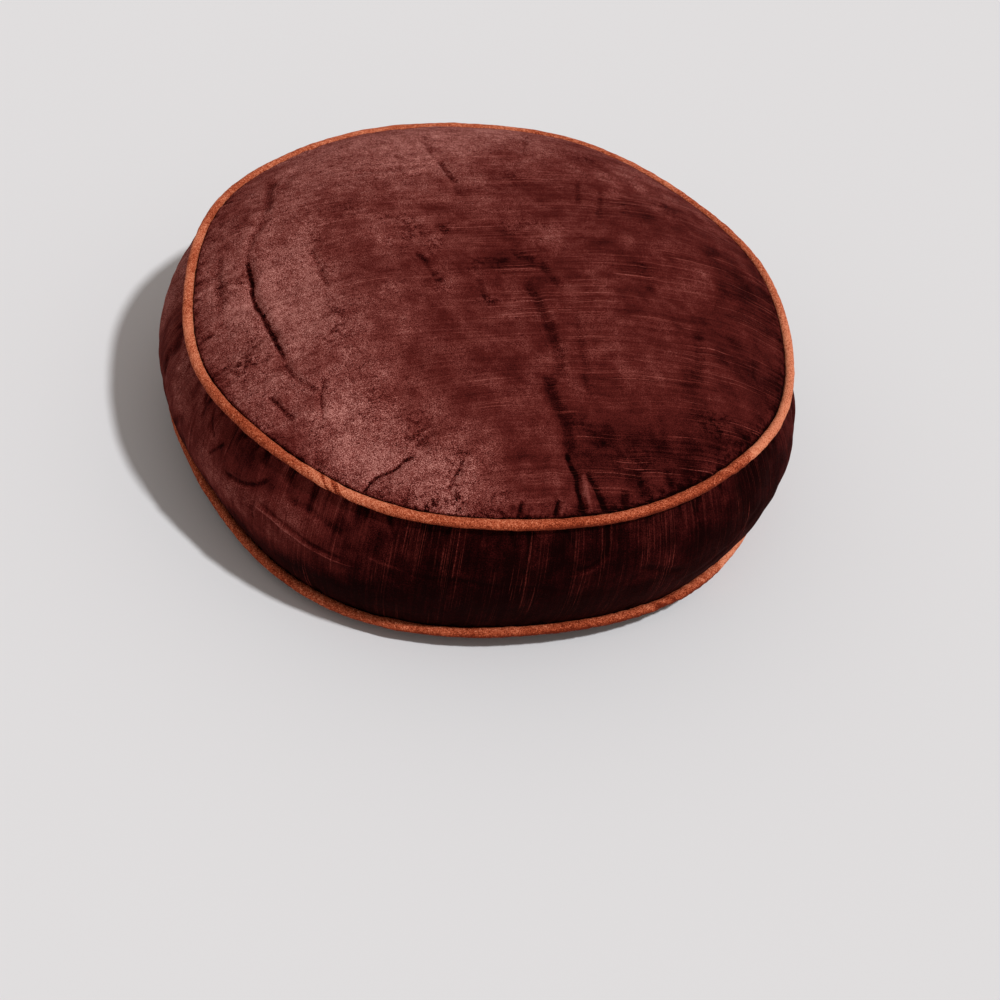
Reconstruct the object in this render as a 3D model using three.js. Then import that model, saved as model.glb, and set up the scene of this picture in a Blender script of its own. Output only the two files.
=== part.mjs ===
import * as THREE from "three";

// A round box cushion in crushed velvet, with a covered cord sewn into the seam around each panel.
// Millimetres, +Z up. It lies on its back panel, with the origin on the surface under its middle.
// Angles around it start at -Y, the side towards the viewer, and grow towards +X.

// Driving sizes
const seamRadius = 200;
const boxingHeight = 94;
const backSeamHeight = 16;
const crownRise = 43;
const restRadius = 148;
const boxingBulge = 10.5;
const fullerSideBulge = 2.5;
const fullerSideAngle = -115;
const cordRadius = 3.6;
const cordGap = 0.33;

// How each surface curves: a higher power keeps it flatter before it turns to the seam
const crownPower = 3.4;
const backPower = 1.8;
const bulgePower = 2.2;

// Facets
const spokes = 120;
const faceRings = 16;
const backRings = 4;
const boxingRows = 9;
const cordSides = 8;

const faceSeamHeight = backSeamHeight + boxingHeight;
const seatAngle = Math.PI / 4;
const seatReach = cordRadius + cordGap;

// How the seams stray from a level circle: so many waves around, each out and up by so much, peaking at an angle
const faceSeamWaves = [
  { waves: 2, out: 2.7, outPeak: -3, up: 2.7, upPeak: 20 },
  { waves: 3, out: 0.5, outPeak: -17, up: 1.2, upPeak: 17 },
  { waves: 4, out: 0.9, outPeak: -20, up: 0.6, upPeak: -26 },
  { waves: 5, out: 0.2, outPeak: 20, up: 0.8, upPeak: -32 },
  { waves: 6, out: 1.0, outPeak: 7, up: 0.4, upPeak: 12 },
  { waves: 7, out: 0.3, outPeak: -13, up: 1.8, upPeak: 10 },
];
const backSeamWaves = [
  { waves: 2, out: 3.3, outPeak: 87, up: 1.4, upPeak: 74 },
  { waves: 3, out: 2.0, outPeak: 4, up: 1.2, upPeak: 35 },
  { waves: 4, out: 2.2, outPeak: -17, up: 0.7, upPeak: 21 },
  { waves: 5, out: 1.7, outPeak: -22, up: 0.3, upPeak: 16 },
];

// At the right the back seam is drawn in, and the boxing swells over it
const tuckAngle = 70;
const tuckSpread = 20;
const tuckInward = 6;
const tuckSwell = 4.5;

// Main creases of the face panel, from one place to another in X and Y, bowed to the left of that line
const faceCreases = [
  { fromX: -157, fromY: 60, toX: -158, toY: -20, bow: 1, depth: 2.2, halfWidth: 9 },
  { fromX: -157, fromY: -15, toX: -94, toY: -138, bow: -9, depth: 3.0, halfWidth: 9 },
  { fromX: -178, fromY: -5, toX: -147, toY: -105, bow: -5, depth: 1.4, halfWidth: 8 },
  { fromX: 18, fromY: -28, toX: 56, toY: -122, bow: 2, depth: 3.0, halfWidth: 9 },
  { fromX: 48, fromY: -112, toX: 76, toY: -184, bow: 1, depth: 2.4, halfWidth: 9 },
  { fromX: -72, fromY: 22, toX: -2, toY: -42, bow: -6, depth: 1.8, halfWidth: 10 },
  { fromX: -58, fromY: -190, toX: -30, toY: -156, bow: 2, depth: 1.6, halfWidth: 8 },
];

// Broad swells and hollows of the filling under the face panel
const faceSwells = [
  { x: -125, y: 30, rise: 2.0, spread: 42 },
  { x: 105, y: 45, rise: 1.8, spread: 60 },
  { x: 15, y: -75, rise: -2.4, spread: 46 },
  { x: -75, y: -95, rise: 1.6, spread: 40 },
  { x: 120, y: -95, rise: 1.2, spread: 38 },
  { x: -30, y: 95, rise: -1.4, spread: 48 },
];

// Main creases of the boxing, by the length around the seam from the front and the height above the back seam
const boxingCreases = [
  { fromX: -128, fromY: 48, toX: -50, toY: 52, bow: 3, depth: 2.2, halfWidth: 9 },
  { fromX: -30, fromY: 58, toX: 88, toY: 42, bow: 3, depth: 1.8, halfWidth: 9 },
  { fromX: -158, fromY: 54, toX: -108, toY: 78, bow: 2, depth: 1.6, halfWidth: 8 },
  { fromX: 180, fromY: 26, toX: 226, toY: 62, bow: -2, depth: 1.8, halfWidth: 9 },
];

const velvet = new THREE.MeshStandardMaterial({ color: 0x551d1a, roughness: 0.95, metalness: 0 });
const rustVelvet = new THREE.MeshStandardMaterial({ color: 0xa8502f, roughness: 0.9, metalness: 0 });

function seamAt(waves, height, angle) {
  let radius = seamRadius;
  let level = height;
  for (const row of waves) {
    radius += row.out * Math.cos(row.waves * (angle - THREE.MathUtils.degToRad(row.outPeak)));
    level += row.up * Math.cos(row.waves * (angle - THREE.MathUtils.degToRad(row.upPeak)));
  }
  return new THREE.Vector2(radius, level);
}

// The share of the tuck at one angle: all of it in its middle, fading out to both sides
function tuckAt(angle) {
  const away = THREE.MathUtils.radToDeg(angle) - tuckAngle;
  return Math.exp(-((away / tuckSpread) ** 2));
}

function faceSeamAt(angle) {
  return seamAt(faceSeamWaves, faceSeamHeight, angle);
}

function backSeamAt(angle) {
  const seam = seamAt(backSeamWaves, backSeamHeight, angle);
  seam.x -= tuckInward * tuckAt(angle);
  return seam;
}

// How deep the creases are at one place: each fades out across its half width and towards its ends
function creaseDepth(rows, x, y) {
  let depth = 0;
  for (const row of rows) {
    const along = new THREE.Vector2(row.toX - row.fromX, row.toY - row.fromY);
    const length = along.length();
    along.divideScalar(length);
    const from = new THREE.Vector2(x - row.fromX, y - row.fromY);
    const share = THREE.MathUtils.clamp(from.dot(along) / length, 0, 1);
    const arch = 4 * share * (1 - share);
    const aside = along.cross(from) - row.bow * arch;
    depth += row.depth * Math.sqrt(arch) * Math.exp(-((aside / row.halfWidth) ** 2));
  }
  return depth;
}

function swellHeight(x, y) {
  let height = 0;
  for (const swell of faceSwells) {
    const away = Math.hypot(x - swell.x, y - swell.y) / swell.spread;
    height += swell.rise * Math.exp(-(away ** 2));
  }
  return height;
}

// The cushion's half section at one angle, as radius and height, from the middle of its back to that of its face
function halfSection(angle) {
  const backSeam = backSeamAt(angle);
  const faceSeam = faceSeamAt(angle);
  const inset = seatReach * Math.cos(seatAngle);
  const faceTop = faceSeamHeight + crownRise;
  const points = [new THREE.Vector2(0, 0)];

  // Back panel: flat out to the rest radius, then up to its seam
  const backRim = backSeam.clone().add(new THREE.Vector2(-inset, -inset));
  for (let ring = 0; ring <= backRings; ring++) {
    const share = ring / backRings;
    const radius = THREE.MathUtils.lerp(restRadius, backRim.x, share);
    points.push(new THREE.Vector2(radius, backRim.y * share ** backPower));
  }

  // Boxing: it bulges between the two cords, each of which sits in a shallow seat
  points.push(backSeam.clone().add(new THREE.Vector2(-seatReach, 0)));
  const lower = backSeam.clone().add(new THREE.Vector2(-inset, inset));
  const upper = faceSeam.clone().add(new THREE.Vector2(-inset, -inset));
  const around = seamRadius * Math.atan2(Math.sin(angle), Math.cos(angle));
  const fullerSide = Math.cos(angle - THREE.MathUtils.degToRad(fullerSideAngle));
  const fullness = boxingBulge + fullerSideBulge * fullerSide + tuckSwell * tuckAt(angle);
  for (let row = 0; row <= boxingRows; row++) {
    const share = row / boxingRows;
    const point = lower.clone().lerp(upper, share);
    const crease = creaseDepth(boxingCreases, around, boxingHeight * share);
    const bulge = inset + fullness - crease;
    point.x += bulge * (1 - Math.abs(2 * share - 1) ** bulgePower);
    points.push(point);
  }
  points.push(faceSeam.clone().add(new THREE.Vector2(-seatReach, 0)));

  // Face panel: highest in the middle, turning down more and more steeply to its seam
  const faceRim = faceSeam.clone().add(new THREE.Vector2(-inset, inset));
  for (let ring = faceRings; ring >= 1; ring--) {
    const share = ring / faceRings;
    const radius = faceRim.x * share;
    const x = radius * Math.sin(angle);
    const y = -radius * Math.cos(angle);
    const crown = faceTop - (faceTop - faceRim.y) * share ** crownPower;
    const fromRim = 1 - share ** (2 * crownPower);
    const level = crown + (swellHeight(x, y) - creaseDepth(faceCreases, x, y)) * fromRim;
    points.push(new THREE.Vector2(radius, level));
  }
  points.push(new THREE.Vector2(0, faceTop + swellHeight(0, 0)));
  return points;
}

function makeCushion() {
  const rows = halfSection(0).length;
  const geometry = new THREE.LatheGeometry(halfSection(0), spokes);
  const position = geometry.getAttribute("position");
  for (let spoke = 0; spoke <= spokes; spoke++) {
    const angle = ((spoke % spokes) / spokes) * 2 * Math.PI;
    halfSection(angle).forEach((point, row) => {
      position.setXYZ(spoke * rows + row, point.x * Math.sin(angle), -point.x * Math.cos(angle), point.y);
    });
  }
  return geometry;
}

function makePiping(seamCourse) {
  const geometry = new THREE.TorusGeometry(seamRadius, cordRadius, cordSides, spokes);
  const position = geometry.getAttribute("position");
  for (let side = 0; side <= cordSides; side++) {
    const turn = (side / cordSides) * 2 * Math.PI;
    for (let spoke = 0; spoke <= spokes; spoke++) {
      const angle = ((spoke % spokes) / spokes) * 2 * Math.PI;
      const seam = seamCourse(angle);
      const radius = seam.x + cordRadius * Math.cos(turn);
      const level = seam.y + cordRadius * Math.sin(turn);
      const index = side * (spokes + 1) + spoke;
      position.setXYZ(index, radius * Math.sin(angle), -radius * Math.cos(angle), level);
    }
  }
  return geometry;
}

function addPiece(group, name, geometry, material) {
  geometry.computeVertexNormals();
  const piece = new THREE.Mesh(geometry, material);
  piece.name = name;
  group.add(piece);
}

const cushion = new THREE.Group();
addPiece(cushion, "cushion", makeCushion(), velvet);
addPiece(cushion, "piping_top", makePiping(faceSeamAt), rustVelvet);
addPiece(cushion, "piping_bottom", makePiping(backSeamAt), rustVelvet);

// The origin is put under the middle of the whole outline
const middle = new THREE.Box3().setFromObject(cushion).getCenter(new THREE.Vector3());
cushion.position.set(-middle.x, -middle.y, 0);

export default cushion;
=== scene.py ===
import math

import bmesh
import bpy
import numpy as np
from mathutils import Matrix, Vector
from mathutils.kdtree import KDTree


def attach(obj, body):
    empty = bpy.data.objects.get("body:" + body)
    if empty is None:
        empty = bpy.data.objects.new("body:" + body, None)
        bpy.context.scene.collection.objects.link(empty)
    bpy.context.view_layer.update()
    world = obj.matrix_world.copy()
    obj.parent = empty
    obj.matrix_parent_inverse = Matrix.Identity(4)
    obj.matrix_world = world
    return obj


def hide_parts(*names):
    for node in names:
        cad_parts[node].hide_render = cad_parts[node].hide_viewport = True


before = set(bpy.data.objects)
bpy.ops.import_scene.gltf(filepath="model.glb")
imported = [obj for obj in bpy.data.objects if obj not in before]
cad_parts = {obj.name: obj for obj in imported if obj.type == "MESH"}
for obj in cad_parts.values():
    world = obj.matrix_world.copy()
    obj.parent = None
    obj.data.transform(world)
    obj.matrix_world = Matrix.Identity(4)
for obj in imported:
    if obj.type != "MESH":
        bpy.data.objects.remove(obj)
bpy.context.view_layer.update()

# A round box cushion in crushed velvet with piping around both seams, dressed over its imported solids.
# Metres, +Z up. Angles around the cushion start at -Y, the side towards the viewer, and grow towards +X.
# Tables are in millimetres on the cushion: X and Y from the middle of the face, or the length around the
# boxing from the front and the height above the back seam.

MM = 0.001
TURN = 2 * math.pi

# How the panels curve, close to the solids
CORD_RADIUS = 3.6 * MM
SEAT_REACH = 3.6 * MM
CROWN_POWER = 3.4
CROWN_RISE = 43 * MM
BACK_POWER = 1.8
REST_RADIUS = 148 * MM
BULGE_POWER = 2.2
BOXING_BULGE = 10.5 * MM
FULLER_SIDE_BULGE = 2.5 * MM
FULLER_SIDE_ANGLE = math.radians(-115)
# At the right the back seam is drawn in, and the boxing swells over it
TUCK_ANGLE = math.radians(70)
TUCK_SPREAD = math.radians(20)
TUCK_SWELL = 4.5 * MM

# The cushion's mesh before its one subdivision
CORE_CELLS = 84
CORE_REACH = 0.70
CORE_ROUNDNESS = 0.45
FACE_RINGS = 14
BOXING_ROWS = 26
BACK_SHARES = (0.96, 0.91, 0.85, 0.79, 0.72, 0.4, 0.12)
# The grid is closer where the finest folds lie, at the front and left
CROWDED_TO = 0.2 * np.exp(1j * math.radians(-115))

# Broad swells of the filling under the face: place, rise and spread
FACE_SWELLS = [
    (-125, 30, 2.0, 42),
    (105, 45, 1.8, 60),
    (15, -75, -2.4, 46),
    (-75, -95, 1.6, 40),
    (120, -95, 1.2, 38),
    (-30, 95, -1.4, 48),
]

# Folds of the face: route, depth, half width and the height of the lip on its left side as it is walked.
# A negative depth is a raised edge with a painted highlight.
FACE_FOLDS = [
    ([(-158, 74), (-157, 55), (-156, 42), (-154, 24)], 1.5, 2.8, 0.5),
    ([(-154, 26), (-156, 14), (-158, 4), (-161, -12)], 0.8, 2.0, 0.6),
    ([(-134, 86), (-146, 76), (-148, 62), (-147, 48)], 0.8, 2.8, 0.3),
    (
        [
            (-161, -8),
            (-158, -22),
            (-153, -37),
            (-152, -44),
            (-148, -53),
            (-138, -73),
            (-127, -94),
            (-118, -112),
        ],
        3.0,
        2.9,
        1.1,
    ),
    ([(-120, -108), (-116, -117), (-110, -123), (-103, -128), (-94, -134)], 1.2, 1.6, 0.5),
    ([(-165, -12), (-163, 8), (-161, 34)], -0.5, 2.4, 0.0),
    ([(-178, -6), (-177, -21), (-173, -33), (-170, -46), (-166, -62)], 1.2, 3.2, 0.5),
    ([(-165, -64), (-162, -72), (-156, -88)], 0.9, 2.8, 0.3),
    ([(-119, -10), (-118, -16), (-111, -31), (-106, -42), (-101, -53)], 0.9, 1.4, 0.4),
    ([(-124, -132), (-121, -136), (-114, -143), (-105, -150)], 1.7, 1.9, 0.5),
    ([(-164, -111), (-151, -105), (-139, -107), (-127, -106)], 0.9, 1.9, 0.3),
    ([(-181, -72), (-172, -75), (-164, -79)], 0.7, 1.4, 0.2),
    ([(-93, -124), (-92, -137), (-88, -154)], 1.1, 1.3, 0.2),
    (
        [(-57, -194), (-54, -187), (-50, -182), (-45, -180), (-40, -177), (-36, -172), (-29, -168)],
        2.2,
        2.0,
        0.5,
    ),
    ([(-1, -168), (-4, -177), (-6, -186), (-3, -193)], 1.4, 1.7, 0.4),
    ([(-106, 74), (-89, 81), (-69, 87), (-54, 95)], 0.5, 2.2, 0.3),
    ([(-54, 90), (-73, 79), (-88, 74), (-104, 69)], -0.6, 1.5, 0.0),
    ([(-66, 136), (-62, 124), (-56, 100)], 0.8, 2.0, 0.4),
    ([(-53, 94), (-62, 113), (-74, 138), (-78, 146)], -0.7, 1.7, 0.0),
    ([(-52, 103), (-50, 99), (-44, 84), (-37, 72)], 1.6, 2.3, 0.4),
    ([(-38, 74), (-36, 66), (-34, 56)], 0.6, 2.4, 0.4),
    ([(-32, 53), (-39, 60), (-44, 72), (-49, 88)], -0.5, 2.0, 0.0),
    ([(-54, -9), (-50, -16), (-41, -28), (-37, -35), (-28, -39)], 0.8, 1.9, 0.3),
    ([(-82, 25), (-72, 21), (-62, 17)], 0.8, 2.0, 0.3),
    ([(-20, -22), (-17, -18), (-11, -9), (3, -10)], 0.3, 3.6, 0.2),
    ([(8, 5), (12, 0), (22, -1)], 0.5, 2.8, 0.2),
    ([(-12, -27), (-10, -33), (-2, -50)], 0.8, 2.0, 0.3),
    ([(24, 2), (26, -3), (35, -15), (41, -24)], 0.8, 2.8, 0.4),
    ([(16, -20), (21, -28), (28, -41), (35, -57), (42, -73), (47, -92), (48, -104)], 1.2, 3.2, 0.7),
    ([(40, -96), (43, -111), (52, -125), (56, -131), (59, -143), (58, -151)], 1.1, 3.4, 0.6),
    ([(58, -147), (63, -157), (67, -163), (69, -169), (72, -175), (76, -187)], 1.8, 2.1, 1.2),
    ([(79, -184), (76, -174), (73, -167), (70, -158)], -1.1, 1.8, 0.0),
    ([(90, -182), (86, -173), (80, -165), (75, -161), (71, -156)], 1.5, 2.2, 0.6),
    ([(62, -124), (66, -128), (76, -134), (84, -135)], 0.5, 4.0, 0.3),
    ([(51, -35), (53, -52), (58, -70), (63, -92), (70, -114)], 0.5, 2.4, 0.3),
    ([(96, -158), (99, -167), (101, -177)], 1.0, 2.0, 0.6),
    ([(59, -179), (58, -185), (57, -192)], 1.4, 1.5, 0.6),
    ([(61, -192), (62, -180)], -0.8, 1.3, 0.0),
    ([(37, -186), (36, -197)], 1.1, 1.4, 0.5),
    ([(40, -197), (40, -187)], -0.5, 1.3, 0.0),
    ([(104, -146), (110, -158)], 0.9, 2.2, 0.4),
    ([(120, -136), (127, -148)], 0.8, 2.2, 0.4),
    ([(3, 174), (3, 150), (4, 122)], 0.7, 1.8, 0.2),
    ([(42, 106), (42, 99), (44, 70)], 0.7, 1.6, 0.2),
    ([(58, 100), (58, 90), (59, 58)], 0.7, 1.6, 0.2),
    ([(40, 145), (52, 139), (64, 132)], 0.6, 4.0, 0.2),
    ([(90, 24), (94, 12), (99, -4)], 0.5, 2.6, 0.2),
    ([(130, -20), (133, -40), (133, -70)], 0.7, 3.6, 0.3),
]

# Folds of the boxing
BOXING_FOLDS = [
    ([(-158, 76), (-163, 68), (-170, 57)], 1.0, 1.5, 0.6),
    ([(-181, 90), (-176, 80), (-168, 71)], 1.0, 1.5, 0.5),
    ([(-154, 57), (-140, 60), (-128, 66), (-117, 78)], 1.1, 1.7, 0.6),
    ([(-123, 57), (-125, 50), (-124, 42)], 0.8, 1.5, 0.3),
    ([(-124, 57), (-110, 57), (-95, 55), (-78, 53), (-56, 52)], 0.8, 1.8, 0.4),
    ([(-50, 50), (-78, 50), (-95, 52), (-110, 54), (-126, 54)], -1.0, 1.0, 0.0),
    ([(-24, 58), (-8, 56), (12, 56), (24, 53), (55, 50), (74, 43)], 0.6, 1.4, 0.4),
    ([(-46, 62), (-34, 60), (-22, 57)], -0.7, 1.0, 0.0),
    ([(74, 62), (86, 65), (94, 73), (96, 82)], 0.8, 1.5, 0.4),
    ([(98, 70), (84, 60), (70, 57)], -0.6, 1.1, 0.0),
    ([(150, 22), (180, 28), (200, 40), (226, 58)], 0.7, 3.0, 0.5),
    ([(206, 48), (197, 41), (188, 36)], -0.9, 1.2, 0.0),
    ([(-60, 70), (-85, 74), (-105, 73)], 0.8, 2.2, 0.3),
    ([(118, 56), (140, 44), (152, 38)], 0.8, 2.2, 0.3),
    ([(-205, 60), (-216, 46), (-222, 34)], 1.0, 3.0, 0.4),
    ([(-250, 84), (-256, 66), (-250, 50)], 1.2, 3.4, 0.5),
    ([(300, 88), (306, 70), (300, 56)], 1.2, 3.4, 0.5),
    ([(380, 30), (420, 42), (470, 36)], 0.8, 3.4, 0.4),
    ([(-560, 58), (-510, 50), (-470, 60)], 0.8, 3.4, 0.4),
    ([(-370, 24), (-340, 40), (-320, 60)], 1.0, 3.4, 0.4),
]

# Where the crushed nap looks lighter or darker than the rest, with painted sheen on the face and painted
# sheen and shade on the boxing: place, radius and strength
NAP_REST = 0.31
# Face: the nap's own lighter and darker patches, with painted sheen at the lower left and towards the far rim
FACE_NAP_AND_SHEEN = [
    (-150, -30, 60, 0.22),
    (-116, -110, 60, 0.17),
    (-64, -160, 32, 0.20),
    (-124, -60, 30, 0.05),
    (-4, -188, 30, 0.27),
    (-50, -182, 22, 0.10),
    (-128, 14, 36, 0.04),
    (-78, 84, 30, 0.06),
    (-152, 96, 66, 0.17),
    (-100, -12, 30, -0.09),
    (-70, -60, 48, 0.04),
    (-60, 125, 66, 0.19),
    (-20, 182, 46, 0.21),
    (-104, 150, 40, 0.06),
    (-62, 8, 34, 0.09),
    (-18, 24, 24, 0.04),
    (100, -98, 24, 0.08),
    (60, -140, 16, 0.05),
    (132, 20, 30, 0.04),
    (30, 22, 26, 0.04),
    (80, 145, 44, 0.11),
    (20, -62, 30, 0.05),
    (75, -136, 26, -0.08),
    (112, -146, 42, -0.16),
    (144, -104, 30, -0.09),
    (180, -20, 40, -0.13),
    (172, -70, 40, -0.05),
    (172, 44, 40, -0.13),
    (136, -58, 24, -0.03),
    (136, -100, 24, -0.04),
    (8, -4, 24, -0.05),
    (-52, -24, 18, -0.07),
]
# Boxing: the nap's own patches, with painted sheen on the left and painted shade at the front and low down
BOXING_NAP_SHEEN_AND_SHADE = [
    (-330, 60, 110, 0.26),
    (-200, 62, 40, 0.10),
    (-150, 40, 40, 0.13),
    (-240, 24, 50, -0.20),
    (-270, 76, 24, -0.08),
    (-220, 64, 24, 0.08),
    (-150, 84, 30, -0.10),
    (-90, 60, 44, 0.11),
    (-50, 20, 50, -0.06),
    (20, 24, 90, -0.18),
    (-40, 82, 14, 0.09),
    (40, 82, 14, 0.06),
    (0, 70, 120, -0.09),
    (140, 30, 90, -0.12),
    (215, 50, 55, -0.26),
    (170, 80, 14, 0.08),
    (80, 56, 10, 0.10),
]
# Ragged dark marks where the nap of the face has been bruised: place, radius and strength
FACE_MARKS = [
    (-150, -70, 8, 0.6),
    (-140, -95, 9, 0.5),
    (-143, -104, 7, 0.7),
    (-159, -37, 5, 0.7),
    (-150, -108, 7, 0.5),
    (-143, -115, 6, 0.6),
    (-172, -40, 8, 0.4),
    (-92, -92, 10, 0.7),
    (-96, -72, 9, 0.5),
    (-19, -196, 6, 1.0),
    (-13, -194, 5, 0.9),
    (-1, -195, 6, 1.0),
    (-6, -185, 5, 0.8),
    (-2, -171, 7, 0.9),
    (-31, -158, 10, 0.9),
    (-3, -191, 5, 0.7),
    (-66, -150, 9, 0.6),
    (-58, -136, 9, 0.5),
    (-48, -186, 7, 0.4),
    (22, -190, 7, 0.5),
    (-62, 3, 6, 0.6),
    (-56, 10, 6, 0.7),
    (-63, 18, 6, 0.6),
    (-39, 16, 5, 0.8),
    (-42, 1, 6, 0.7),
    (-17, -18, 7, 0.3),
    (-11, -9, 8, 0.25),
    (1, -10, 7, 0.25),
    (11, 1, 6, 0.3),
    (20, 0, 6, 0.3),
    (-3, -47, 6, 0.6),
    (3, 25, 7, 0.5),
    (17, 36, 8, 0.4),
    (-50, -16, 5, 0.5),
    (-37, -36, 6, 0.5),
    (-66, 142, 9, 0.5),
    (-4, 90, 12, 0.4),
    (43, 143, 10, 0.4),
    (104, 104, 10, 0.5),
    (74, 86, 9, 0.35),
    (66, -128, 7, 0.25),
    (78, -135, 8, 0.25),
    (102, -142, 12, 0.4),
    (150, -94, 12, 0.5),
    (-120, -2, 9, 0.35),
    (-104, 28, 12, 0.4),
    (-182, 27, 6, 0.5),
    (-167, 19, 5, 0.5),
    (-173, 12, 6, 0.5),
    (-183, 10, 4, 0.5),
]
# Painted shade on the boxing's lower part, darker towards the bottom
LOW_SHADE = 0.25
LOW_SHADE_HEIGHT = 46


def srgb(red, green, blue):
    values = np.array([red, green, blue]) / 255
    linear = np.where(values > 0.04045, ((values + 0.055) / 1.055) ** 2.4, values / 12.92)
    return (*linear, 1.0)


def smooth_step(value):
    value = np.clip(value, 0, 1)
    return value * value * (3 - 2 * value)


# A smooth random field with one wavelength, about -1 to 1
def field(points, wavelength, seed, terms=36):
    draws = np.random.default_rng(seed)
    heading = draws.normal(size=(terms, points.shape[1]))
    heading /= np.linalg.norm(heading, axis=1)[:, None]
    pitch = TURN / (wavelength * draws.uniform(0.7, 1.4, terms))
    start = draws.uniform(0, TURN, terms)
    total = np.zeros(len(points))
    for row in range(terms):
        total += np.cos(points @ heading[row] * pitch[row] + start[row])
    return total / math.sqrt(terms)


# Several random fields added up: wavelength, seed and gain of each
def layers(points, rows):
    return sum(gain * field(points, wavelength, seed) for wavelength, seed, gain in rows)


def angle_of(points):
    return np.arctan2(points[:, 0], -points[:, 1])


def outward(angle):
    return np.stack([np.sin(angle), -np.cos(angle)], -1)


# Seams: the middle of each cord, read from its solid as smooth waves of the angle
class Seam:
    WAVES = 12

    def __init__(self, node):
        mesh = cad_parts[node].data
        points = np.empty(len(mesh.vertices) * 3)
        mesh.vertices.foreach_get("co", points)
        points = np.unique(points.reshape(-1, 3).round(6), axis=0)
        self.middle = np.zeros(2)
        for _ in range(4):
            flat = points[:, :2] - self.middle
            basis = self.basis(angle_of(flat))
            self.radius_waves = np.linalg.lstsq(basis, np.hypot(*flat.T), rcond=None)[0]
            self.height_waves = np.linalg.lstsq(basis, points[:, 2], rcond=None)[0]
            self.middle += [self.radius_waves[2], -self.radius_waves[1]]

    def basis(self, angle):
        columns = [np.ones_like(angle)]
        for wave in range(1, self.WAVES + 1):
            columns += [np.cos(wave * angle), np.sin(wave * angle)]
        return np.stack(columns, -1)

    def radius(self, angle):
        return self.basis(angle) @ self.radius_waves

    def height(self, angle):
        return self.basis(angle) @ self.height_waves


face_seam = Seam("piping_top")
back_seam = Seam("piping_bottom")
middle = face_seam.middle
face_level = face_seam.height_waves[0]
face_radius = face_seam.radius_waves[0]
boxing_height = face_level - back_seam.height_waves[0]


# The face's grid on a unit disc: a rounded square core inside rings that end on the rim
def disc_grid():
    steps = np.linspace(-1, 1, CORE_CELLS + 1)
    across, along = np.meshgrid(steps, steps, indexing="ij")
    square = np.stack([across, along], -1)
    rounded = square * np.sqrt(1 - square[..., ::-1] ** 2 / 2)
    core = CORE_REACH * ((1 - CORE_ROUNDNESS) * square + CORE_ROUNDNESS * rounded)
    index = np.arange(core.shape[0] * core.shape[1]).reshape(core.shape[:2])
    loop = np.concatenate([index[:-1, 0], index[-1, :-1], index[:0:-1, -1], index[0, :0:-1]])
    core = core.reshape(-1, 2)
    turn = math.radians(225) + np.arange(len(loop)) * TURN / len(loop)
    circle = np.stack([np.cos(turn), np.sin(turn)], -1)
    rings = []
    for number in range(1, FACE_RINGS + 1):
        share = number / FACE_RINGS
        rings.append(crowd((1 - share) * core[loop] + share * circle))
    return crowd(core), index, loop, rings


# Draws the points of a unit disc together towards one side, with its rim kept
def crowd(points):
    place = points[:, 0] + 1j * points[:, 1]
    place = (place + CROWDED_TO) / (1 + np.conj(CROWDED_TO) * place)
    return np.stack([place.real, place.imag], -1)


def swells(x, y):
    height = np.zeros_like(x)
    for place_x, place_y, rise, spread in FACE_SWELLS:
        away = np.hypot(x - place_x * MM, y - place_y * MM) / (spread * MM)
        height += rise * MM * np.exp(-(away**2))
    return height


def face_shape(disc, fullness):
    angle = angle_of(disc)
    share = np.hypot(disc[:, 0], disc[:, 1])
    inset = SEAT_REACH * math.sqrt(0.5)
    flat = disc * (face_seam.radius(angle) - inset)[:, None]
    rim = face_seam.height(angle) + inset
    top = face_level + CROWN_RISE * fullness
    height = top - (top - rim) * share**CROWN_POWER
    height += swells(flat[:, 0], flat[:, 1]) * (1 - share ** (2 * CROWN_POWER))
    return np.column_stack([flat + middle, height])


def ring_at(seam, angle, out, up):
    flat = middle + outward(angle) * (seam.radius(angle) + out)[:, None]
    return np.column_stack([flat, seam.height(angle) + up])


def boxing_shape(angle, share, fullness):
    inset = SEAT_REACH * math.sqrt(0.5)
    lower = ring_at(back_seam, angle, -inset, inset)
    upper = ring_at(face_seam, angle, -inset, -inset)
    point = lower + (upper - lower) * share
    bulge = BOXING_BULGE + FULLER_SIDE_BULGE * np.cos(angle - FULLER_SIDE_ANGLE)
    bulge += TUCK_SWELL * np.exp(-(((angle - TUCK_ANGLE) / TUCK_SPREAD) ** 2))
    bulge = (inset + bulge * fullness) * (1 - abs(2 * share - 1) ** BULGE_POWER)
    point[:, :2] += outward(angle) * bulge[:, None]
    return point


def back_shape(disc):
    angle = angle_of(disc)
    inset = SEAT_REACH * math.sqrt(0.5)
    rim_radius = back_seam.radius(angle) - inset
    rim = back_seam.height(angle) - inset
    flat = disc * rim_radius[:, None]
    beyond = np.hypot(flat[:, 0], flat[:, 1]) - REST_RADIUS
    share = np.clip(beyond / (rim_radius - REST_RADIUS), 0, 1)
    return np.column_stack([flat + middle, rim * share**BACK_POWER])


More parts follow.
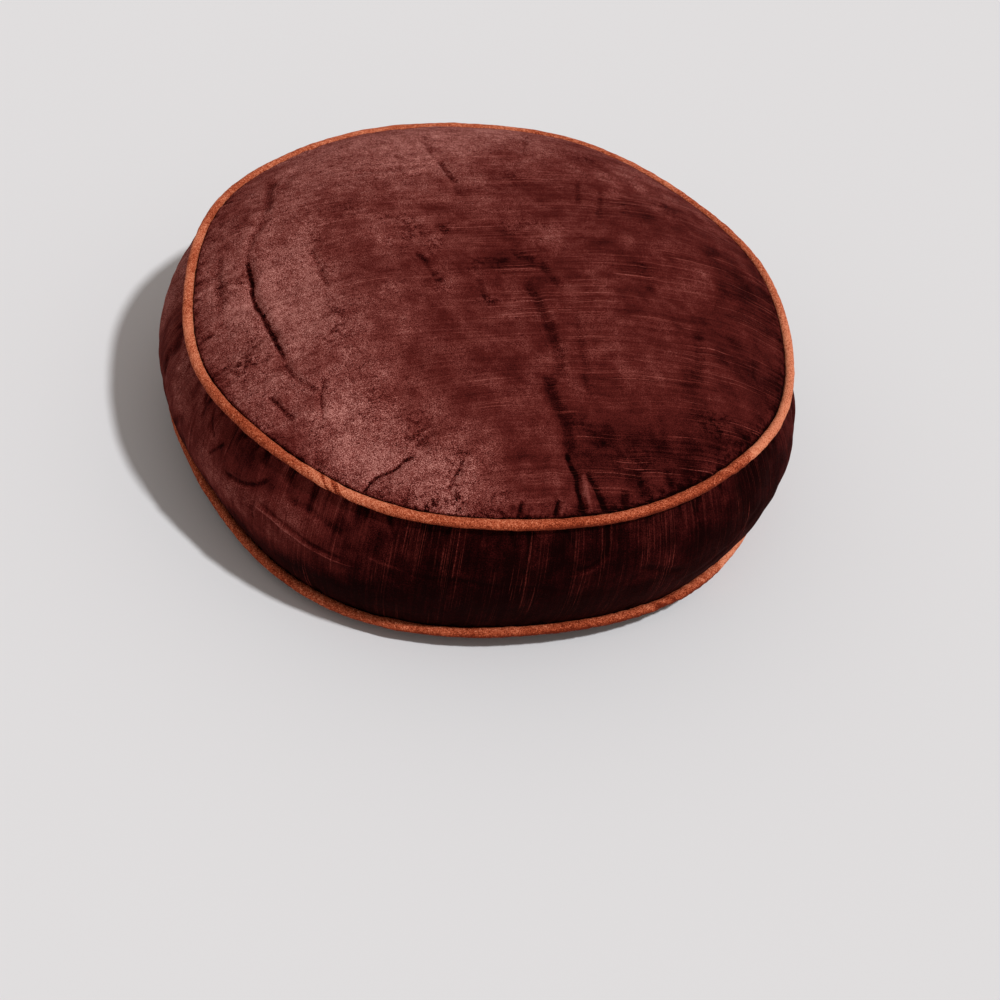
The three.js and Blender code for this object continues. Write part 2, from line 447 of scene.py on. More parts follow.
# The whole grid at one fullness, open only at the middle of the back: points, faces, panel (2 face, 1 boxing,
# 0 back), height share on the boxing, and which points are sewn fast
def cushion_grid(fullness):
    core, index, loop, face_rings = disc_grid()
    rim = face_rings[-1]
    angle = angle_of(rim)
    count = len(loop)
    rows = []
    for number, ring in enumerate(face_rings, 1):
        rows.append((face_shape(ring, fullness), 2.0, 1.0, number == FACE_RINGS))
    rows.append((ring_at(face_seam, angle, -SEAT_REACH, 0), 1.5, 1.0, True))
    for number in range(BOXING_ROWS + 1):
        share = 1 - number / BOXING_ROWS
        rows.append((boxing_shape(angle, share, fullness), 1.0, share, number in (0, BOXING_ROWS)))
    rows.append((ring_at(back_seam, angle, -SEAT_REACH, 0), 0.5, 0.0, True))
    for share in (1.0, *BACK_SHARES):
        rows.append((back_shape(rim * share), 0.0, 0.0, True))

    face_core = face_shape(core, fullness)
    rows_start = len(face_core)
    points = np.concatenate([face_core, *[row[0] for row in rows]])
    ones = np.ones(count)
    panel = np.concatenate([np.full(rows_start, 2.0), *[ones * row[1] for row in rows]])
    share = np.concatenate([np.ones(rows_start), *[ones * row[2] for row in rows]])
    sewn = np.concatenate([np.zeros(rows_start), *[ones * row[3] for row in rows]])

    loops = [loop] + [rows_start + count * number + np.arange(count) for number in range(len(rows))]
    core_faces = np.stack([index[:-1, :-1], index[1:, :-1], index[1:, 1:], index[:-1, 1:]], -1)
    faces = core_faces.reshape(-1, 4).tolist()
    for upper, lower in zip(loops[:-1], loops[1:]):
        faces += np.stack([upper, lower, np.roll(lower, -1), np.roll(upper, -1)], -1).tolist()
    return points, faces, panel, share, sewn


def new_mesh_object(name, points, faces):
    mesh = bpy.data.meshes.new(name)
    mesh.from_pydata(points.tolist(), [], faces)
    mesh.polygons.foreach_set("use_smooth", np.ones(len(mesh.polygons), dtype=bool))
    made = bpy.data.objects.new(name, mesh)
    bpy.context.collection.objects.link(made)
    return made


def set_attribute(mesh, name, values):
    kind = "FLOAT_VECTOR" if values.ndim == 2 else "FLOAT"
    attribute = mesh.attributes.get(name) or mesh.attributes.new(name, kind, "POINT")
    attribute.data.foreach_set("vector" if values.ndim == 2 else "value", values.ravel().astype(np.float32))


def get_attribute(mesh, name):
    values = np.empty(len(mesh.vertices), dtype=np.float32)
    mesh.attributes[name].data.foreach_get("value", values)
    return values.astype(float)


def get_points(mesh):
    values = np.empty(len(mesh.vertices) * 3)
    mesh.vertices.foreach_get("co", values)
    return values.reshape(-1, 3)


def get_normals(mesh):
    values = np.empty(len(mesh.vertices) * 3)
    mesh.vertex_normals.foreach_get("vector", values)
    return values.reshape(-1, 3)


# Cloth: the velvet is cut a little larger than its seams, and the filling presses it out between them
SIM_FRAMES = 18
SIM_PRESSURE = 4.0
SIM_EXTRA_CLOTH = 0.012
SIM_START_FULLNESS = 0.93
SIM_CAP = 5 * MM
SIM_PASSES = 5


def swell_cloth(made, sewn):
    group = made.vertex_groups.new(name="sewn")
    group.add(np.flatnonzero(sewn > 0.5).tolist(), 1.0, "REPLACE")
    cloth = made.modifiers.new("cloth", "CLOTH")
    settings = cloth.settings
    settings.quality = 5
    settings.mass = 0.25
    settings.tension_stiffness = 18
    settings.compression_stiffness = 18
    settings.shear_stiffness = 6
    settings.bending_stiffness = 0.35
    settings.tension_damping = 8
    settings.compression_damping = 8
    settings.shear_damping = 8
    settings.use_pressure = True
    settings.uniform_pressure_force = SIM_PRESSURE
    settings.shrink_min = -SIM_EXTRA_CLOTH
    settings.vertex_group_mass = "sewn"
    settings.effector_weights.gravity = 0
    cloth.collision_settings.use_collision = False
    cloth.point_cache.frame_start = 1
    cloth.point_cache.frame_end = SIM_FRAMES
    for number in range(1, SIM_FRAMES + 1):
        bpy.context.scene.frame_set(number)
    settled = made.evaluated_get(bpy.context.evaluated_depsgraph_get())
    result = get_points(settled.data)
    made.modifiers.remove(cloth)
    made.vertex_groups.remove(group)
    bpy.context.scene.frame_set(1)
    return result


# A smooth curve through the places of a route, as close points
def smooth_route(places, step=0.5):
    points = np.array(places, dtype=float)
    padded = np.vstack([2 * points[0] - points[1], points, 2 * points[-1] - points[-2]])
    route = []
    for number in range(1, len(padded) - 2):
        before, start, end, after = padded[number - 1 : number + 3]
        count = max(2, int(np.linalg.norm(end - start) / step))
        share = np.linspace(0, 1, count, endpoint=False)[:, None]
        leave = (end - before) / 2
        arrive = (after - start) / 2
        bend = 3 * (end - start) - 2 * leave - arrive
        close = 2 * (start - end) + leave + arrive
        route.append(start + share * (leave + share * (bend + share * close)))
    route.append(padded[-2:-1])
    return np.concatenate(route)


# The number of the path's nearest point for each place
def nearest_on(path, flat):
    tree = KDTree(len(path))
    for number, spot in enumerate(path):
        tree.insert((*spot, 0), number)
    tree.balance()
    return np.array([tree.find((x, y, 0))[1] for x, y in flat])


# Folds press the velvet in along their routes, with a low lip on the left. Each also leaves a thin line of
# painted shade, kept as the distance to its middle in line widths, with a side, and as how dark it is,
# negative for a painted highlight.
LEAST_HALF_WIDTH = 2.2
END_FADE = 0.14
LIP_AWAY = 2.2
LIP_SPREAD = 1.5
LIP_RISE = 0.5
LINE_REACH = 7.0
WANDER = 0.35
WANDER_LENGTH = 22
UNEVEN_DEPTH = 0.15
UNEVEN_LENGTH = 30


# How far a fold presses in, by the distance to its middle
def fold_press(away, side, depth, half_width, lip):
    trough = np.exp(-((away / max(half_width, LEAST_HALF_WIDTH)) ** 2))
    ridge = np.exp(-(((away - LIP_AWAY * half_width) / (LIP_SPREAD * half_width)) ** 2)) * (side > 0)
    return depth * trough - LIP_RISE * lip * ridge


# The deeper a fold is for its width, the thinner and darker its line of painted shade: line width and tone
def fold_line(depth, half_width):
    sharp = min(abs(depth) / half_width, 1)
    return half_width * (1.4 - 0.85 * sharp**2), np.clip(depth / 2, -1, 1.3) * (0.42 + 0.58 * sharp**2)


def folds(flat, rows):
    wander = np.column_stack([field(flat, WANDER_LENGTH, 61), field(flat, WANDER_LENGTH, 62)])
    flat = flat + WANDER * wander
    push = np.zeros(len(flat))
    line = np.full(len(flat), LINE_REACH)
    dark = np.zeros(len(flat))
    best = np.zeros(len(flat))
    for route, depth, half_width, lip in rows:
        path = smooth_route(route)
        reach = max(5 * half_width, LINE_REACH)
        low, high = path.min(0) - reach, path.max(0) + reach
        near = np.flatnonzero(np.all((flat > low) & (flat < high), axis=1))
        if len(near) == 0:
            continue
        nearest = nearest_on(path, flat[near])
        offset = flat[near] - path[nearest]
        away = np.hypot(offset[:, 0], offset[:, 1])
        heading = np.gradient(path, axis=0)[nearest]
        side = np.sign(heading[:, 0] * offset[:, 1] - heading[:, 1] * offset[:, 0])
        share = nearest / (len(path) - 1)
        fade = smooth_step(share / END_FADE) * smooth_step((1 - share) / END_FADE)
        push[near] += fade * fold_press(away, side, depth, half_width, lip)

        # Each point keeps the line of the fold that is strongest there
        line_width, tone = fold_line(depth, half_width)
        score = fade * np.exp(-away / 3) * (away < LINE_REACH)
        taken = score > best[near]
        chosen = near[taken]
        best[chosen] = score[taken]
        line[chosen] = (side * away / line_width)[taken]
        dark[chosen] = (fade * tone * smooth_step((1.35 * line_width + 2.5 - away) / 2))[taken]
    return push * (1 + UNEVEN_DEPTH * field(flat, UNEVEN_LENGTH, 63)), line, dark


# Short gathers that run in from a seam: drawn at random, closer together where more of them are asked for.
# Crowded places: length around the seam from the front, spread and number of gathers.
GATHER_WIDTH = (1.3, 2.8)
GATHER_LENGTH = (5, 20)
GATHER_DEPTH = (0.15, 0.75)
GATHER_LEAN = 0.25
FACE_CROWDS = [(78, 26, 16), (20, 30, 8), (-60, 40, 8), (-200, 60, 26), (-300, 50, 20)]
BOXING_CROWDS = [(-120, 40, 40), (-230, 40, 20), (100, 60, 14), (165, 14, 8)]


def gathers(arc, inward, seed, count, crowds, strength):
    draws = np.random.default_rng(seed)
    around = TURN * face_radius / MM
    places = draws.uniform(-around / 2, around / 2, count)
    for place, spread, extra in crowds:
        places = np.concatenate([places, draws.normal(place, spread, extra)])
    total = np.zeros(len(arc))
    for place in places:
        width = draws.uniform(*GATHER_WIDTH)
        length = draws.uniform(*GATHER_LENGTH)
        depth = strength * draws.uniform(*GATHER_DEPTH)
        lean = draws.normal(0, GATHER_LEAN)
        aside = (arc - place - lean * inward + around / 2) % around - around / 2
        near = (np.abs(aside) < 4 * width) & (inward < 2.5 * length)
        across = aside[near] / width
        shape = np.exp(-(across**2)) - 0.5 * np.exp(-((across - 1.9) ** 2))
        along = inward[near]
        total[near] += depth * shape * np.exp(-((along / length) ** 2)) * smooth_step(along / 1.5)
    return total


# Soft round patches, added up
def patches(flat, rows):
    total = np.zeros(len(flat))
    for x, y, radius, strength in rows:
        away = np.hypot(flat[:, 0] - x, flat[:, 1] - y) / radius
        total += strength * np.exp(-(away**2))
    return total


# Evens out the smallest ripples
def relaxed(values, mesh, passes):
    pairs = np.empty(len(mesh.edges) * 2, dtype=np.int64)
    mesh.edges.foreach_get("vertices", pairs)
    ends = pairs.reshape(-1, 2)
    count = np.bincount(pairs, minlength=len(values))[:, None]
    for _ in range(passes):
        around = [
            np.bincount(ends[:, 0], values[ends[:, 1], axis], len(values))
            + np.bincount(ends[:, 1], values[ends[:, 0], axis], len(values))
            for axis in range(3)
        ]
        values = (values + np.stack(around, -1) / count) / 2
    return values


# Closes the flat middle of the back
def close_back(mesh):
    edit = bmesh.new()
    edit.from_mesh(mesh)
    filled = bmesh.ops.holes_fill(edit, edges=[edge for edge in edit.edges if edge.is_boundary])
    bmesh.ops.triangulate(edit, faces=filled["faces"])
    edit.to_mesh(mesh)
    edit.free()


# The filled cloth as one closed mesh, swollen, subdivided once and closed at the back
def filled_cloth():
    points, faces, panel, share, sewn = cushion_grid(1.0)
    made = new_mesh_object("velvet_cushion", points, faces)
    start = cushion_grid(SIM_START_FULLNESS)[0]
    made.data.vertices.foreach_set("co", start.ravel())
    moved = relaxed(swell_cloth(made, sewn) - points, made.data, SIM_PASSES)
    moved[sewn > 0.5] = 0
    size = np.linalg.norm(moved, axis=1)
    moved *= (SIM_CAP * np.tanh(size / SIM_CAP) / np.maximum(size, 1e-9))[:, None]
    made.data.vertices.foreach_set("co", (points + moved).ravel())
    set_attribute(made.data, "panel", panel)
    set_attribute(made.data, "share", share)

    smooth = made.modifiers.new("smooth", "SUBSURF")
    smooth.levels = 1
    smooth.render_levels = 1
    fine = bpy.data.meshes.new_from_object(made.evaluated_get(bpy.context.evaluated_depsgraph_get()))
    made.modifiers.remove(smooth)
    made.data = fine
    fine.name = "velvet_cushion"
    close_back(fine)
    return made


# Where each point lies on its panel, in millimetres: flat place, length around, and distance in from the seam
class Places:
    def __init__(self, mesh):
        self.body = get_points(mesh)
        panel = get_attribute(mesh, "panel")
        self.on_face = panel > 1.95
        self.on_boxing = (panel > 0.95) & (panel < 1.05)
        self.flat = (self.body[:, :2] - middle) / MM
        self.angle = angle_of(self.flat)
        self.arc = self.angle * face_radius / MM
        radius = np.hypot(self.flat[:, 0], self.flat[:, 1])
        self.inward = np.clip(face_seam.radius(self.angle) / MM - 2.5 - radius, 0, None)
        height = boxing_height / MM
        unrolled = np.column_stack([self.arc, get_attribute(mesh, "share") * height])
        self.flat[self.on_boxing] = unrolled[self.on_boxing]
        up = self.flat[self.on_boxing, 1]
        self.inward[self.on_boxing] = np.minimum(height - up, up)
        self.upper = self.on_boxing & (self.flat[:, 1] > height / 2)
        self.lower = self.on_boxing & ~self.upper


# How far the velvet is pressed in, the painted shade of its creases, and the lines of its folds.
# Painted shade darkens each crease, and a negative value is a raised place given a painted highlight.
FOLD_SHADE_RANGE = (-0.4, 0.14)
GATHER_SHADE_RANGE = (-0.45, 0.42)
FACE_SEAM_SHADE = 0.45
BOXING_SEAM_SHADE = 0.8
SEAM_SHADE_WIDTH = 1.9
RIPPLES = [(26 * MM, 21, 0.22), (11 * MM, 22, 0.10)]


def pressed(places):
    push = np.zeros(len(places.flat))
    line = np.full(len(places.flat), LINE_REACH)
    dark = np.zeros(len(places.flat))
    for panel, rows in ((places.on_face, FACE_FOLDS), (places.on_boxing, BOXING_FOLDS)):
        push[panel], line[panel], dark[panel] = folds(places.flat[panel], rows)
    inward = places.inward
    push *= smooth_step(inward / 3)
    crease_shade = np.clip(push / 3, *FOLD_SHADE_RANGE)
    folded = push.copy()
    for panel, seed, count, crowds, strength in (
        (places.on_face, 11, 70, FACE_CROWDS, 0.6),
        (places.upper, 12, 120, BOXING_CROWDS, 1.1),
        (places.lower, 13, 110, [], 1.0),
    ):
        push[panel] += gathers(places.arc[panel], inward[panel], seed, count, crowds, strength)
    crease_shade += np.clip((push - folded) / 1.5, *GATHER_SHADE_RANGE)
    # Painted shade along the seams, where the velvet tucks under the piping
    seam_shade = np.where(places.on_face, FACE_SEAM_SHADE, BOXING_SEAM_SHADE)
    crease_shade = np.maximum(crease_shade, seam_shade * np.exp(-((inward / SEAM_SHADE_WIDTH) ** 2)))
    covered = places.on_face | places.on_boxing
    # The grooves between the panels are given painted shade in full
    crease_shade[~covered] = BOXING_SEAM_SHADE
    push -= layers(places.body, RIPPLES) * smooth_step(inward / 6) * covered
    return push, crease_shade, line, dark * smooth_step(inward / 2)


# Nap and painted light: broad patches of nap tone with painted sheen and shade, broken up by clouds at
# several sizes
CLOUDS = [(60 * MM, 31, 0.5), (24 * MM, 32, 0.6), (11 * MM, 33, 0.4)]
CLOUD_GAIN = 0.05
BOXING_TONE = -0.05
# Painted shade along the face's rim, in a ragged band beside the piping: strength and width
RIM_SHADE = 0.5
RIM_SHADE_WIDTH = 6


def nap_and_light_tone(places):
    tone = np.full(len(places.flat), NAP_REST)
    tone[places.on_face] += patches(places.flat[places.on_face], FACE_NAP_AND_SHEEN)
    boxing = places.flat[places.on_boxing]
    tone[places.on_boxing] += patches(boxing, BOXING_NAP_SHEEN_AND_SHADE)
    # The boxing is a little darker overall, and painted shade darkens it more towards the bottom
    tone[places.on_boxing] += BOXING_TONE - LOW_SHADE * smooth_step(1.5 * (1 - boxing[:, 1] / LOW_SHADE_HEIGHT))
    return np.clip(tone + CLOUD_GAIN * layers(places.body, CLOUDS), 0, 1)


# Bruised nap on the face, with painted shade along the rim beside the piping
def bruises_and_rim_shade(places):
    marks_and_rim_shade = np.zeros(len(places.flat))
    rim = RIM_SHADE * np.exp(-((places.inward[places.on_face] / RIM_SHADE_WIDTH) ** 2))
    marks_and_rim_shade[places.on_face] = patches(places.flat[places.on_face], FACE_MARKS) + rim
    return marks_and_rim_shade


def make_cushion():
    made = filled_cloth()
    fine = made.data
    places = Places(fine)
    body = places.body
    straight = np.column_stack([middle + outward(places.angle) * face_radius, body[:, 2]])
    set_attribute(fine, "cloth", np.where(places.on_boxing[:, None], straight, body))
    push, crease_shade, line, dark = pressed(places)
    shaped = body - get_normals(fine) * (push * MM)[:, None]
    shaped[:, 2] = np.maximum(shaped[:, 2], 0)
    fine.vertices.foreach_set("co", clear_of_cords(shaped).ravel())
    fine.update()
    # The tone attribute holds the nap's own patches together with painted sheen and painted shade
    set_attribute(fine, "nap_and_light", nap_and_light_tone(places))
    set_attribute(fine, "marks_and_rim_shade", bruises_and_rim_shade(places))
    set_attribute(fine, "crease_shade", crease_shade)
    set_attribute(fine, "line", line)
    set_attribute(fine, "dark", dark)
    return made


# The velvet is tucked against each cord without entering it
CORD_GAP = 0.15 * MM


def clear_of_cords(points):
    flat = points[:, :2] - middle
    angle = angle_of(flat)
    for seam in (face_seam, back_seam):
        across = np.hypot(flat[:, 0], flat[:, 1]) - seam.radius(angle)
        up = points[:, 2] - seam.height(angle)
        away = np.hypot(across, up)
        short = np.clip(CORD_RADIUS + CORD_GAP - away, 0, None) / np.maximum(away, 1e-6)
        points[:, :2] += outward(angle) * (across * short)[:, None]
        points[:, 2] += up * short
    return points


# Piping: a cord in a bias strip, with slanting wrinkles and one slanting join
CORD_SIDES = 20
CORD_STEPS = 1500
CORD_SLACK = 0.3 * MM
SLANT = -0.9
# Both strips are most twisted here, and the nap turns over where the twist ends
TWIST_ANGLE = math.radians(46)
TWIST_SPREAD = math.radians(12)
NAP_TURN_ANGLE = math.radians(58)
NAP_TURN_END = math.radians(120)
# A join shows as three lines
JOIN_LINES = (0, 7, 9.6)
JOIN_LINE_WIDTH = 0.8
# Where a strip looks lighter or darker, from its nap and from painted highlight and shade: angle and spread
# in degrees, and strength
FACE_CORD_NAP_AND_LIGHT = [
    (-110, 8, -0.08),
    (-90, 14, 0.05),
    (-68, 8, 0.12),
    (-49, 9, -0.20),
    (-36, 9, -0.10),
    (-20, 7, 0.20),
    (18, 20, -0.11),
]
BACK_CORD_NAP_AND_LIGHT = [
    (25, 14, -0.10),
    (50, 22, 0.19),
]


# The tone of a strip: light past the nap's turn, dark in the twist and in the join, and painted shade on its
# lower side
def cord_nap_and_light(signed, turn, join, rest, broad, nap_and_light_rows):
    pale = smooth_step((signed - NAP_TURN_ANGLE) * 40) * smooth_step((NAP_TURN_END - signed) * 2)
    deep = np.exp(-(((signed - TWIST_ANGLE) / TWIST_SPREAD) ** 2)) * (1 - pale)
    # Painted shade on the strip's lower side, stronger from the front round to the right
    lower = smooth_step((0.9 - np.sin(turn)) / 1.3) * (np.cos(turn) > -0.3)
    lower *= 0.12 + 0.38 * smooth_step((signed + math.radians(12)) / math.radians(36)) * (1 - pale)
    for place, spread, strength in nap_and_light_rows:
        broad += strength * np.exp(-(((np.degrees(signed) - place) / spread) ** 2))
    return rest + 0.29 * pale - 0.22 * deep - lower - 0.35 * join + broad


def make_piping(name, seam, join_angle, seed, rest, nap_and_light_rows):
    angle = np.repeat(np.arange(CORD_STEPS) / CORD_STEPS * TURN, CORD_SIDES)
    turn = np.tile(np.arange(CORD_SIDES) / CORD_SIDES * TURN, CORD_STEPS)
    section = CORD_RADIUS * np.stack([np.cos(turn), np.sin(turn)], -1)
    spot = np.column_stack([outward(angle) * face_radius, section])
    around = CORD_RADIUS * np.where(turn > math.pi, turn - TURN, turn)
    slanted = outward(angle - around * SLANT / face_radius) * face_radius
    slanted = np.column_stack([slanted, 0.3 * section])

    # Wrinkles and lumps in millimetres
    twisty = 0.35 + 0.65 * smooth_step(0.5 + field(spot[:, :2], 90 * MM, seed + 4))
    twisty += 0.9 * np.exp(-(((angle - TWIST_ANGLE) / TWIST_SPREAD) ** 2))
    wrinkle = twisty * layers(slanted, [(3.2 * MM, seed, 0.06), (8 * MM, seed + 1, 0.10)])
    lump = layers(spot, [(34 * MM, seed + 2, 0.14), (13 * MM, seed + 3, 0.10), (5 * MM, seed + 6, 0.07)])
    from_join = ((angle - join_angle + math.pi) % TURN - math.pi) * face_radius - around * SLANT
    join = sum(np.exp(-(((from_join / MM - offset) / JOIN_LINE_WIDTH) ** 2)) for offset in JOIN_LINES)
    radius = CORD_RADIUS - CORD_SLACK + (wrinkle + lump - 0.2 * join) * MM
    radius = np.where(np.cos(turn) < -0.3, np.minimum(radius, CORD_RADIUS), radius)

    flat = middle + outward(angle) * (seam.radius(angle) + radius * np.cos(turn))[:, None]
    points = np.column_stack([flat, seam.height(angle) + radius * np.sin(turn)])
    index = np.arange(len(points)).reshape(CORD_STEPS, CORD_SIDES)
    ahead = np.roll(index, -1, axis=0)
    quads = np.stack([index, ahead, np.roll(ahead, -1, axis=1), np.roll(index, -1, axis=1)], -1)
    made = new_mesh_object(name, points, quads.reshape(-1, 4).tolist())
    set_attribute(made.data, "cloth", points)
    set_attribute(made.data, "slant", slanted[:, :3])
    # Painted shade on the strip's underside and in its wrinkle dents, painted highlight on wrinkle ridges,
    # and the join's dark lines
    underside_shade = 0.45 * smooth_step(0.3 - np.sin(turn)) * smooth_step(0.6 + np.cos(turn))
    set_attribute(made.data, "crease_shade", np.clip(underside_shade - wrinkle * 1.8 + join, -1, 1.2))
    signed = (angle + math.pi) % TURN - math.pi + around * SLANT / face_radius
    broad = 0.05 * field(spot[:, :2], 40 * MM, seed + 5)
    set_attribute(made.data, "nap_and_light", cord_nap_and_light(signed, turn, join, rest, broad, nap_and_light_rows))
    return made


# Materials
class Nodes:
    def __init__(self, name):
        self.material = bpy.data.materials.new(name)
        self.material.use_nodes = True
        self.tree = self.material.node_tree
        self.shader = self.tree.nodes["Principled BSDF"]

    def new(self, kind, **settings):
        node = self.tree.nodes.new(kind)
        for key, value in settings.items():
            setattr(node, key, value)
        return node

    def put(self, socket, value):
        if isinstance(value, bpy.types.NodeSocket):
            self.tree.links.new(value, socket)
        else:
            socket.default_value = value

    def attribute(self, name, output="Fac"):
        return self.new("ShaderNodeAttribute", attribute_name=name).outputs[output]

    def math(self, operation, first, second=0.0, third=0.5):
        node = self.new("ShaderNodeMath", operation=operation)
        for socket, value in zip(node.inputs, (first, second, third)):
            self.put(socket, value)
        return node.outputs[0]

    def scaled(self, vector, scale):
        node = self.new("ShaderNodeVectorMath", operation="MULTIPLY")
        self.put(node.inputs[0], vector)
        node.inputs[1].default_value = scale
        return node.outputs[0]

    def turned(self, vector, angle):
        node = self.new("ShaderNodeVectorRotate", rotation_type="Z_AXIS")
        self.put(node.inputs["Vector"], vector)
        node.inputs["Angle"].default_value = angle
        return node.outputs[0]

    def mix_vector(self, share, first, second):
        node = self.new("ShaderNodeMix", data_type="VECTOR")
        self.put(node.inputs[0], share)
        self.put(node.inputs[4], first)
        self.put(node.inputs[5], second)
        return node.outputs[1]

    def noise(self, vector, scale=1.0, detail=2.0, roughness=0.5, distortion=0.0):
        node = self.new("ShaderNodeTexNoise")
        self.put(node.inputs["Vector"], vector)
        node.inputs["Scale"].default_value = scale
        node.inputs["Detail"].default_value = detail
        node.inputs["Roughness"].default_value = roughness
        node.inputs["Distortion"].default_value = distortion
        return node.outputs["Fac"]

    def ramp(self, value, low, high, to_low=0.0, to_high=1.0):
        node = self.new("ShaderNodeMapRange", interpolation_type="SMOOTHSTEP")
        for socket, number in zip(node.inputs[1:5], (low, high, to_low, to_high)):
            socket.default_value = number
        self.put(node.inputs[0], value)
        return node.outputs[0]

    def colors(self, value, *stops):
        node = self.new("ShaderNodeValToRGB")
        self.put(node.inputs[0], value)
        while len(node.color_ramp.elements) < len(stops):
            node.color_ramp.elements.new(0.5)
        for element, (place, color) in zip(node.color_ramp.elements, stops):
            element.position = place
            element.color = color
        return node.outputs[0]

    def mix(self, share, first, second):
        node = self.new("ShaderNodeMix", data_type="RGBA")
        self.put(node.inputs[0], share)
        self.put(node.inputs[6], first)
        self.put(node.inputs[7], second)
        return node.outputs[2]

    def add(self, total, part, gain, zero=0.5):
        return self.math("ADD", total, self.math("MULTIPLY", self.math("SUBTRACT", part, zero), gain))

    def bump(self, height, distance):
        node = self.new("ShaderNodeBump")
        node.inputs["Distance"].default_value = distance
        self.put(node.inputs["Height"], height)
        return node.outputs[0]

    def finish(self, color, roughness, normal, sheen, sheen_roughness, sheen_tint, specular):
        self.put(self.shader.inputs["Base Color"], color)
        self.put(self.shader.inputs["Roughness"], roughness)
        self.put(self.shader.inputs["Normal"], normal)
        self.shader.inputs["Sheen Weight"].default_value = sheen
        self.shader.inputs["Sheen Roughness"].default_value = sheen_roughness
        self.shader.inputs["Sheen Tint"].default_value = sheen_tint
        self.shader.inputs["Specular IOR Level"].default_value = specular
        return self.material


WEFT_ANGLE = math.radians(19)


# Thick threads run along the weft: turned a little from X on the panels, up and down on the boxing. Gives the
# slubs, and the thin streaks between them.
def weft_threads(nodes, cloth, turned, on_boxing):
    def weft_noise(along, across, seed, detail=0.0):
        on_panels = nodes.scaled(turned, (along, across, seed))
        upright = nodes.scaled(cloth, (across, across, along))
        return nodes.noise(nodes.mix_vector(on_boxing, on_panels, upright), detail=detail)

    fine = nodes.ramp(weft_noise(14, 1500, 7), 0.60, 0.76)
    bold = nodes.ramp(weft_noise(22, 1150, 3), 0.68, 0.78)
    where = nodes.ramp(weft_noise(14, 60, 5, 2.0), 0.40, 0.64)
    broken = nodes.ramp(nodes.noise(nodes.scaled(cloth, (900, 900, 600)), 1.0, 1.0), 0.36, 0.56, 0.35, 1.0)
    slub = nodes.math("MULTIPLY", nodes.math("MAXIMUM", nodes.math("MULTIPLY", fine, 0.5), bold), where)
    return nodes.math("MULTIPLY", slub, broken), weft_noise(12, 600, 11, 1.0)


# Bruises, painted shade along the rim, the painted shade and highlights of creases and gathers, and the
# painted shade of the fold lines move the tone along the same scale
def with_marks_and_shade(nodes, nap_and_light, cloth, mottle):
    ragged = nodes.noise(cloth, 240, 3.0, 0.65, 0.3)
    bruise_and_rim_shade = nodes.math("MULTIPLY", nodes.attribute("marks_and_rim_shade"), nodes.ramp(ragged, 0.46, 0.58))
    crease_shade = nodes.attribute("crease_shade")
    line = nodes.math("ABSOLUTE", nodes.add(nodes.attribute("line"), mottle, 1.0))
    line = nodes.math("MULTIPLY", nodes.ramp(line, 0.25, 1.35, 1.0, 0.0), nodes.attribute("dark"))
    line = nodes.math("MULTIPLY", line, nodes.ramp(ragged, 0.34, 0.54, 0.55, 1.0))
    nap_and_light = nodes.add(nap_and_light, bruise_and_rim_shade, -0.30, 0.0)
    nap_and_light = nodes.add(nap_and_light, nodes.ramp(crease_shade, 0.04, 0.7), -0.30, 0.0)
    nap_and_light = nodes.add(nap_and_light, nodes.ramp(nodes.math("MULTIPLY", crease_shade, -1.0), 0.02, 0.5), 0.18, 0.0)
    return nodes.add(nap_and_light, line, -0.42, 0.0)


def burgundy_velvet():
    nodes = Nodes("burgundy_velvet")
    cloth = nodes.attribute("cloth", "Vector")
    turned = nodes.turned(cloth, -WEFT_ANGLE)
    on_boxing = nodes.math("COMPARE", nodes.attribute("panel"), 1.0, 0.4)
    slub, streak = weft_threads(nodes, cloth, turned, on_boxing)

    # The pile lies over in clouds. Where it catches the light it is speckled, and in the dark it is smoother.
    cloud = nodes.noise(cloth, 46, 5.0, 0.60, 0.6)
    mottle = nodes.noise(cloth, 220, 2.0, 0.6, 0.4)
    grain = nodes.noise(nodes.scaled(turned, (1500, 2100, 1900)), 1.0, 0.0)
    # The mesh's tone already holds painted sheen and painted shade
    nap_and_light = nodes.add(nodes.attribute("nap_and_light"), cloud, 0.32)
    lit = nodes.ramp(nap_and_light, 0.26, 0.56, 0.25, 1.0)
    busy = nodes.add(nodes.math("MULTIPLY", nodes.math("SUBTRACT", mottle, 0.5), 0.50), grain, 1.25)
    nap_and_light = nodes.add(nap_and_light, nodes.math("MULTIPLY", busy, lit), 1.0, 0.0)
    nap_and_light = nodes.add(nap_and_light, streak, 0.18)
    nap_and_light = with_marks_and_shade(nodes, nap_and_light, cloth, mottle)

    # The slubs show less where the pile is light, and less on the boxing
    faint = nodes.math("SUBTRACT", 1.15, nodes.math("MULTIPLY", lit, 0.75))
    faint = nodes.math("SUBTRACT", faint, nodes.math("MULTIPLY", on_boxing, 0.22))
    slub = nodes.math("MULTIPLY", slub, faint)
    nap_and_light = nodes.add(nap_and_light, slub, 0.30, 0.0)
    color = nodes.colors(
        nap_and_light,
        (0.00, srgb(17, 2, 2)),
        (0.13, srgb(42, 7, 7)),
        (0.32, srgb(88, 30, 26)),
        (0.56, srgb(136, 70, 63)),
        (0.95, srgb(206, 140, 130)),
    )
    color = nodes.mix(nodes.math("MULTIPLY", slub, 0.25), color, srgb(150, 66, 54))

    height = nodes.math("ADD", nodes.math("MULTIPLY", slub, 0.5), nodes.math("MULTIPLY", grain, 0.6))
    height = nodes.math("ADD", height, nodes.math("MULTIPLY", mottle, 0.8))
    return nodes.finish(color, 0.85, nodes.bump(height, 0.0005), 0.05, 0.4, srgb(190, 84, 74), 0.01)


